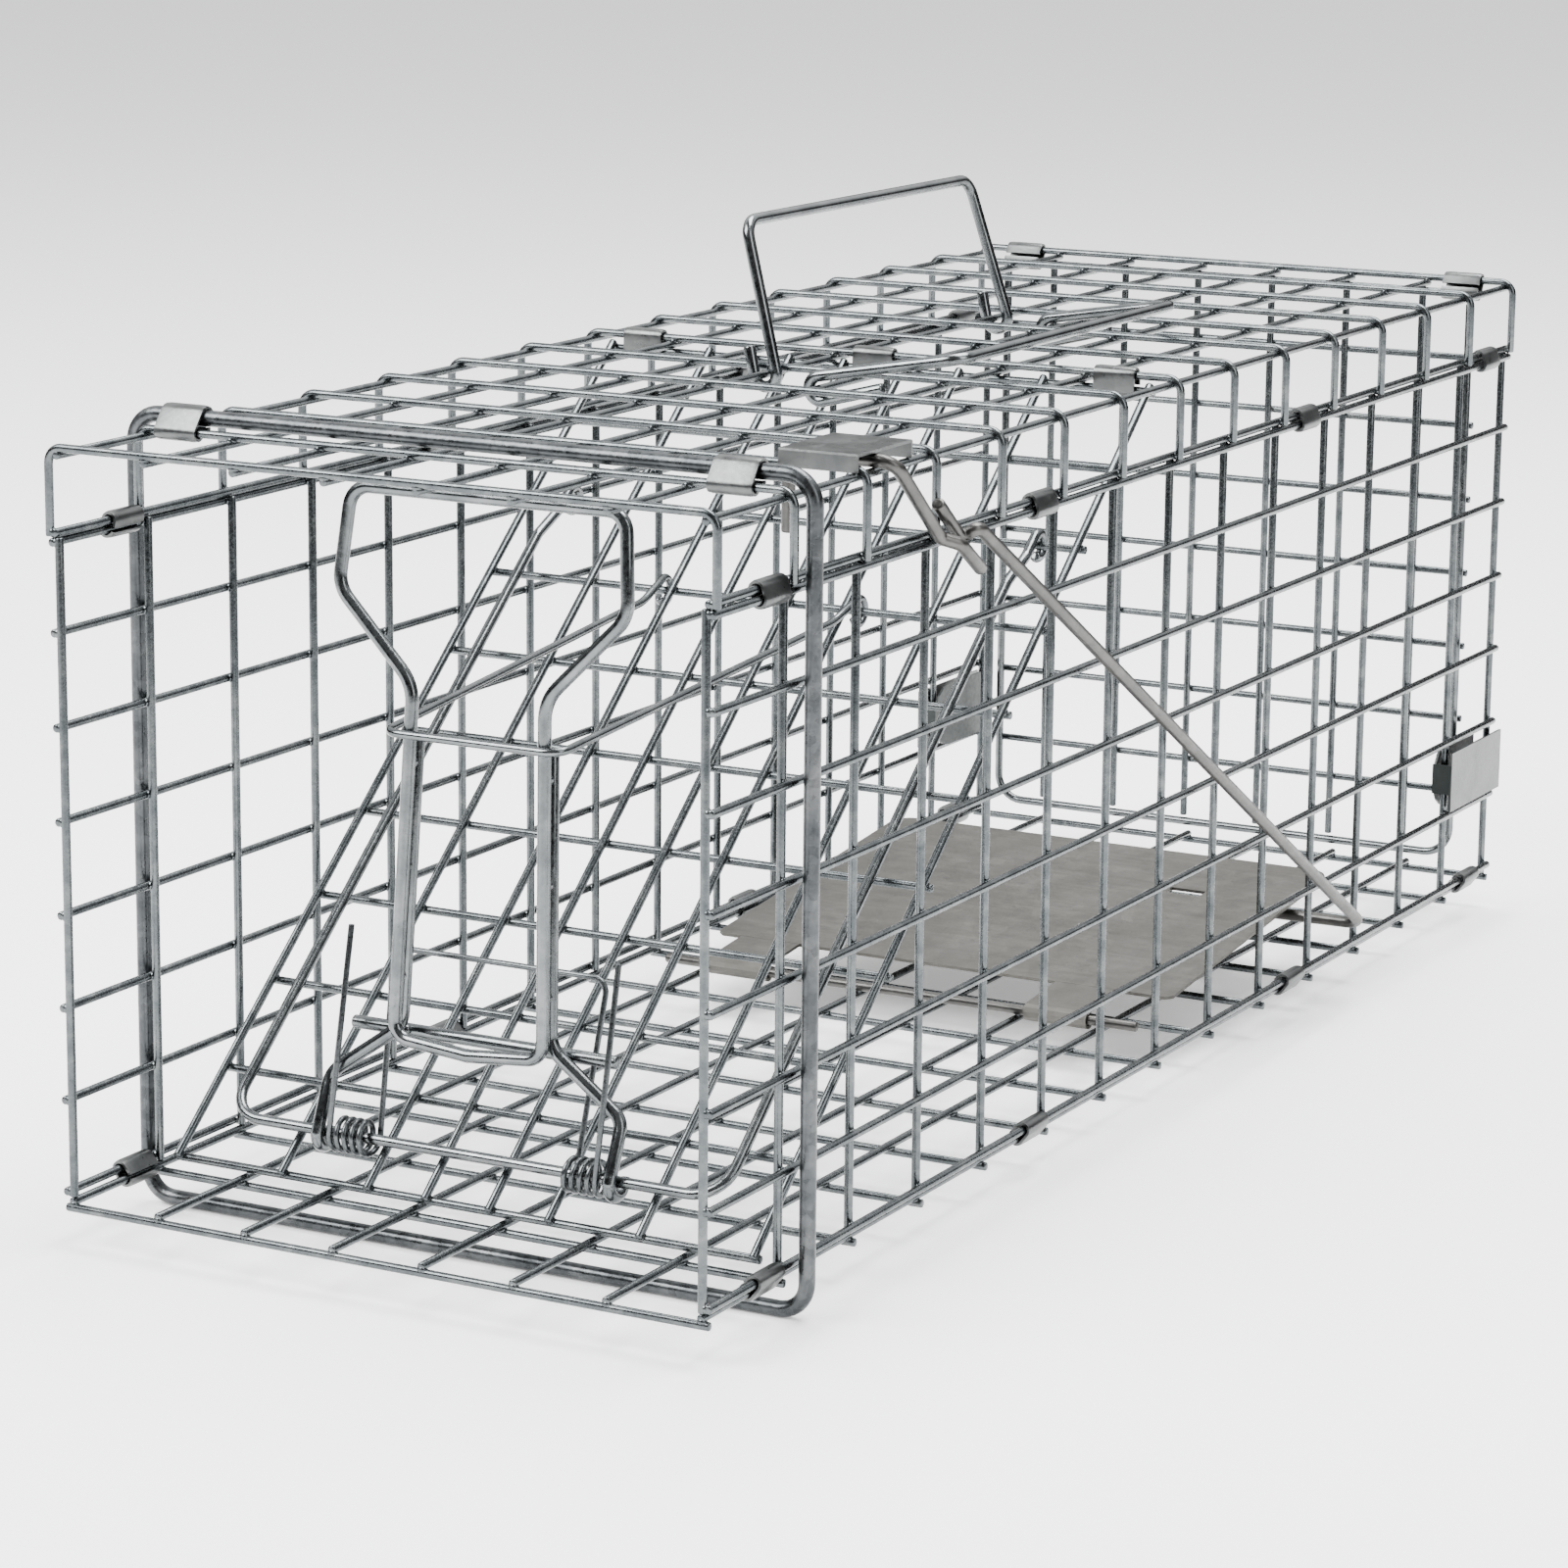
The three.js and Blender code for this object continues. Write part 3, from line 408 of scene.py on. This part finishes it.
# ------------------------------------------------------------------ front door
bm = bmesh.new()
for n, s in enumerate(ROWS):
    e = 92.2 if 0 < n < 10 else 91.4
    tube(bm, [on_door(-e, s, 0), on_door(e, s, 0)], MW)
for x in DOOR_X:
    tube(bm, [on_door(x, 0.2, 1.9), on_door(x, L + 0.9, 1.9)], MW)
    for s in ROWS:
        nugget(bm, on_door(x, s, 0.95), X, AL, OUT)
finish_mesh(bm, "front_door_mesh", "front_door", ZINC, ["door_mesh"])


def door_leg(x):
    eye = arc(lambda s, w: on_door(x, s, w), ROWS[8], 0, 3.4, 90, -255, 20)
    return bend([[on_door(x, 60, 7), 0], [on_door(x, 226, 7), 8, 2], [on_door(x, 239, 3.4), 8, 2], [on_door(x, ROWS[8], 3.4), 0]])[1:-1] + eye


bm = bmesh.new()
pts = door_leg(-77)[::-1] + bend([[on_door(-77, 60, 7), 0], [on_door(-77, 13, 7), 10, 4], [on_door(77, 13, 7), 10, 4], [on_door(77, 60, 7), 0]])[1:-1] + door_leg(77)
tube(bm, pts, 1.55, 16)
finish_mesh(bm, "front_door_rod", "front_door", ZINC_HEAVY, ["door_rod"])

# ------------------------------------------------------------------ lever
bm = bmesh.new()
n0 = 2.05


def fside(d):
    return [[on_lever(d * 23.2, 29.6, n0), 5, 3], [on_lever(d * 20.3, 125, n0), 12, 3], [on_lever(d * 44.3, 149, n0), 9, 3], [on_lever(d * 42, 176, n0 - 1.5), 6, 3]]


fp = bend([[on_lever(-0.4, 27.6, n0), 0]] + fside(-1) + fside(1)[::-1] + [[on_lever(0.4, 27.6, n0), 0]])
tube(bm, fp, 1.85, 16, closed=True)
nugget(bm, on_lever(0, 27.6, n0), FR, UP, X, 1.65)
finish_mesh(bm, "lever_frame_wire", "door_lever", ZINC_HEAVY, ["lever_frame"])
for name, d in (("lever_leg_left", -1), ("lever_leg_right", 1)):
    bm = bmesh.new()
    x = d * 45.6
    pts = bend([[on_lever(d * 20.7, 112, -n0), 0], [on_lever(d * 23.2, 32, -n0), 8, 3], [on_lever(x, 16, -n0), 6, 4], [on_lever(x, 1.2, 3.95), 0]])[:-1]
    pts += arc(lambda nn, t: on_lever(x, t, nn), 0, 0, 3.95, 4, -190, 18)
    tube(bm, pts, 1.85, 16)
    for t in (104, 76, 46):
        xx = d * (20.7 + (112 - t) / 80 * 2.5)
        nugget(bm, on_lever(xx, t, 0), X, UP, FR, 1.35)
    finish_mesh(bm, name + "_wire", "door_lever", ZINC_HEAVY, [name])
bm = bmesh.new()
tube(bm, [on_lever(-41.3, 30, -6.2), on_lever(41.3, 30, -6.2)], 1.85, 16)
for d in (-1, 1):
    nugget(bm, on_lever(d * 23.4, 30.5, -4.1), X, UP, FR, 1.3)
finish_mesh(bm, "lever_crossbar_wire", "door_lever", ZINC_HEAVY, ["lever_crossbar"])


def spring_half(d):
    xo, xi, turns = 41.6, 30.8, 4.5
    steps = int(turns * 20)
    pts = [on_lever(d * xo, 57, 4.4 - 0.15 * 57)]
    for k in range(steps + 1):
        f = k / steps
        a = -f * turns * 2 * math.pi
        pts.append(on_lever(d * (xo + (xi - xo) * f), 4.4 * math.sin(a), 4.4 * math.cos(a)))
    return pts + bend([[on_lever(d * xi, 3, -4.9), 0], [on_lever(d * 33.4, 50.3, -13.1), 4, 3], [on_lever(0, 50.3, -13.1), 0]])[1:-1]


bm = bmesh.new()
tube(bm, spring_half(-1) + spring_half(1)[::-1], 0.83, 10)
finish_mesh(bm, "lever_spring_wire", "door_lever", SPRINGM, ["lever_spring"])

# ------------------------------------------------------------------ link
EYE = on_door(0, ROWS[7], 0)
NOSE = V(0, -228.0, 140.5)
DR = (NOSE - EYE).normalized()
UL = V(0, -DR.z, DR.y)
SG = 1 if UL.z > 0 else -1
LEN = (NOSE - EYE).length


def on_link(x, a, b):
    return V(x, EYE.y, EYE.z) + DR * a + UL * b


def link_arm(d):
    hook = arc(lambda a, b: on_link(d * 32, a, SG * b), 0, 0, 3.7, -20, -250, 20)
    return hook + bend([[on_link(d * 32, 0, SG * 3.7), 0], [on_link(d * 31, 14, 0), 20, 2], [on_link(d * 27, LEN, 0), 5, 3], [on_link(0, LEN, 0), 0]])[1:-1]


bm = bmesh.new()
tube(bm, link_arm(-1) + link_arm(1)[::-1], 1.18, 14)
finish_mesh(bm, "lever_link_wire", "lever_link", ZINC_HEAVY, ["lever_link"])

# ------------------------------------------------------------------ set rod and trigger rod
bm = bmesh.new()
tube(bm, bend([[V(72.3, -188, 197), 0], [V(72.3, -188, 217.95), 4.5, 3], [V(103, -188, 217.95), 4.5, 3], [V(103, -161, 194.3), 2.6, 2], [V(107.2, -157.5, 192.6), 2.6, 2], [V(107.2, -145, 184), 0]]), 1.86, 18)
finish_mesh(bm, "set_rod_wire", "set_rod", RODM, ["set_rod"])
bm = bmesh.new()
tube(bm, bend([[V(103, -163, 203.8), 0], [V(103, -148.8, 192.3), 2.2, 3], [V(107.3, -147.7, 195.9), 2.2, 3], [V(107.3, 137, 25.4), 6, 4], [V(60, 137, 25.0), 0]]), 1.86, 18)
finish_mesh(bm, "trigger_rod_wire", "trigger_rod", RODM, ["trigger_rod"])
bm = bmesh.new()
tube(bm, [V(-82, 20, 15.55), V(82, 20, 15.55)], 1.55, 16)
finish_mesh(bm, "pan_pivot_wire", "cage", RODM, ["pan_pivot_rod"])


# ------------------------------------------------------------------ bails
def bail(name, px, tilt, middle, d, tail):
    t = math.radians(tilt)
    up, ac = V(math.sin(t), 0, math.cos(t)), V(math.cos(t), 0, -math.sin(t))

    def at(a, h, y):
        return V(px, y, ROOF_L) + ac * (d * a) + up * h

    def leg(e):
        y = middle + e * 154 / 2
        hook = [at(3.7 * math.cos(math.radians(180 + k * 10)), 3.7 * math.sin(math.radians(180 + k * 10)), y) for k in range(19)]
        return [at(-3.7, tail, y)] + hook + bend([[at(3.7, 0, y), 0], [at(0, 44.7, middle + e * 146 / 2), 6, 4], [at(0, 44.7, middle), 0]])[1:-1]

    bm = bmesh.new()
    tube(bm, leg(-1) + leg(1)[::-1], 1.76, 18)
    finish_mesh(bm, name + "_wire", name, ZINC_HEAVY, [name])


bail("handle_left", xs[3], -11.9, 34, 1, 9)
bail("handle_right", xs[4], 75.5, 16.5, -1, 20)

# ------------------------------------------------------------------ rear door
rows = [15.2 + PZ * k for k in range(1, 6)] + [15.2 + PZ * 6, 190.6, 212.4]
bm = bmesh.new()
for z in rows:
    tube(bm, [V(-88.2, 272, z), V(88.2, 272, z)], MW)
for x in (-69, -41.4, -13.8, 13.8, 41.4, 69):
    tube(bm, [V(x, 270.1, 20.5), V(x, 270.1, 213.1)], MW)
    for z in rows:
        nugget(bm, V(x, 271.05, z), X, Z, Y)
finish_mesh(bm, "rear_door_mesh", "rear_door", ZINC, ["rear_mesh"])
bm = bmesh.new()
tube(bm, bend([[V(-86.4, 269.2, 209.2), 0], [V(-86.4, 269.2, 18.5), 9, 4], [V(86.4, 269.2, 18.5), 9, 4], [V(86.4, 269.2, 209.2), 0]]), 1.36, 16)
finish_mesh(bm, "rear_door_rod", "rear_door", ZINC_HEAVY, ["rear_rod"])


# ------------------------------------------------------------------ sheet parts kept from the CAD, with rolled edges
def soften(node, mat, width, segs=2):
    ob = NODES[node]
    ob.data.materials.clear()
    ob.data.materials.append(mat)
    b = ob.modifiers.new("rolled_edges", "BEVEL")
    b.width = width
    b.segments = segs
    b.limit_method = "ANGLE"
    b.angle_limit = math.radians(40)
    b.harden_normals = False


soften("set_rod_bracket", SHEETM, 0.00022)
soften("latch_left", SHEETM, 0.0002)
soften("latch_right", SHEETM, 0.0002)
soften("trigger_pan", PANM, 0.0002)
for side in ("latch_left", "latch_right"):  # the rounded inner plate is dull, and coloured near-black as painted shade for the shadow inside the latch
    ob = NODES[side]
    ob.data.materials.append(LATCH_PAINTED_SHADE_M)
    for p in ob.data.polygons:
        if abs((ob.matrix_world @ p.center).x - S.x / 1000) < 0.0985:
            p.material_index = 1

# ------------------------------------------------------------------ floor, light, camera
m, nt, sh, tc = nodes_of("pale_floor")
n1 = noise(nt, tc, 3.0, 3)
c = ramp(nt, n1.outputs["Fac"], [(0.0, (0.97, 0.97, 0.97)), (1.0, (0.985, 0.985, 0.985))]).outputs[0]
nt.links.new(c, sh.inputs["Base Color"])
sh.inputs["Roughness"].default_value = 0.9
sh.inputs["Emission Color"].default_value = (1, 1, 1, 1)
sh.inputs["Emission Strength"].default_value = 0.4
bm = bmesh.new()
vs = [bm.verts.new(p) for p in ((-30, -30, 0), (30, -30, 0), (30, 30, 0), (-30, 30, 0))]
bm.faces.new(vs)
me = bpy.data.meshes.new("ground")
bm.to_mesh(me)
bm.free()
ground = bpy.data.objects.new("ground", me)
bpy.context.scene.collection.objects.link(ground)
me.materials.append(m)

world = bpy.data.worlds.new("studio")
bpy.context.scene.world = world
world.use_nodes = True
wn = world.node_tree
wn.nodes.clear()
wo = wn.nodes.new("ShaderNodeOutputWorld")
bg = wn.nodes.new("ShaderNodeBackground")
wn.links.new(bg.outputs[0], wo.inputs[0])
wt = wn.nodes.new("ShaderNodeTexCoord")
sx = wn.nodes.new("ShaderNodeSeparateXYZ")
wn.links.new(wt.outputs["Generated"], sx.inputs[0])
wr = wn.nodes.new("ShaderNodeValToRGB")
els = wr.color_ramp.elements
while len(els) < 4:
    els.new(0.5)
for e, (p, v) in zip(els, [(0.0, 0.05), (0.22, 0.10), (0.5, 2.2), (1.0, 1.9)]):
    e.position = p
    e.color = (v, v * 1.005, v * 1.015, 1)
wn.links.new(sx.outputs[2], wr.inputs[0])
# the studio is dim on the viewer's side, so that the wires carry dark bodies with bright lines
wd = wn.nodes.new("ShaderNodeVectorMath")
wd.operation = "DOT_PRODUCT"
wn.links.new(wt.outputs["Generated"], wd.inputs[0])
wd.inputs[1].default_value = (0.463, -0.859, 0.2196)
wm = wn.nodes.new("ShaderNodeMath")
wm.operation = "MULTIPLY_ADD"
wn.links.new(wd.outputs["Value"], wm.inputs[0])
wm.inputs[1].default_value = 0.5
wm.inputs[2].default_value = 0.5
w2 = wn.nodes.new("ShaderNodeValToRGB")
e2 = w2.color_ramp.elements
while len(e2) < 3:
    e2.new(0.5)
for e, (p, v) in zip(e2, [(0.0, 1.0), (0.30, 1.0), (0.62, 0.16)]):
    e.position = p
    e.color = (v, v, v, 1)
wn.links.new(wm.outputs[0], w2.inputs[0])
wx = wn.nodes.new("ShaderNodeMix")
wx.data_type = "RGBA"
wx.blend_type = "MULTIPLY"
wx.inputs[0].default_value = 1.0
wn.links.new(wr.outputs[0], wx.inputs[6])
wn.links.new(w2.outputs[0], wx.inputs[7])
wn.links.new(wx.outputs[2], bg.inputs[0])
bg.inputs[1].default_value = 1.0


def area(name, loc, look, size, power, color=(1, 1, 1)):
    l = bpy.data.lights.new(name, "AREA")
    l.shape = "RECTANGLE"
    l.size, l.size_y = size
    l.energy = power
    l.color = color
    o = bpy.data.objects.new(name, l)
    bpy.context.scene.collection.objects.link(o)
    o.location = loc
    o.rotation_euler = (Vector(look) - Vector(loc)).to_track_quat("-Z", "Y").to_euler()


area("key", (-1.1, -1.3, 1.7), (0, 0, 0.1), (1.3, 1.3), 105)
area("fill", (1.8, -0.6, 1.1), (0, 0, 0.1), (0.9, 1.6), 20)
area("top", (0.2, 0.4, 2.0), (0, 0, 0.1), (1.6, 1.0), 110)

cam = bpy.data.cameras.new("camera")
cam.sensor_fit = "HORIZONTAL"
cam.sensor_width = 36.0
cam.lens = 5020.29 / 1600 * 36.0
cam.clip_end = 100
co = bpy.data.objects.new("camera", cam)
bpy.context.scene.collection.objects.link(co)
A, B, C = 0.4943212, 0.2213615, 0.0096160
back = V(math.sin(A) * math.cos(B), -math.cos(A) * math.cos(B), math.sin(B))
right = Z.cross(back).normalized()
upv = back.cross(right)
r2 = right * math.cos(C) + upv * math.sin(C)
u2 = -right * math.sin(C) + upv * math.cos(C)
mat = Matrix((r2, u2, back)).transposed().to_4x4()
mat.translation = (V(669.157, -1296.358, 413.436) + S) / 1000
co.matrix_world = mat
bpy.context.scene.camera = co
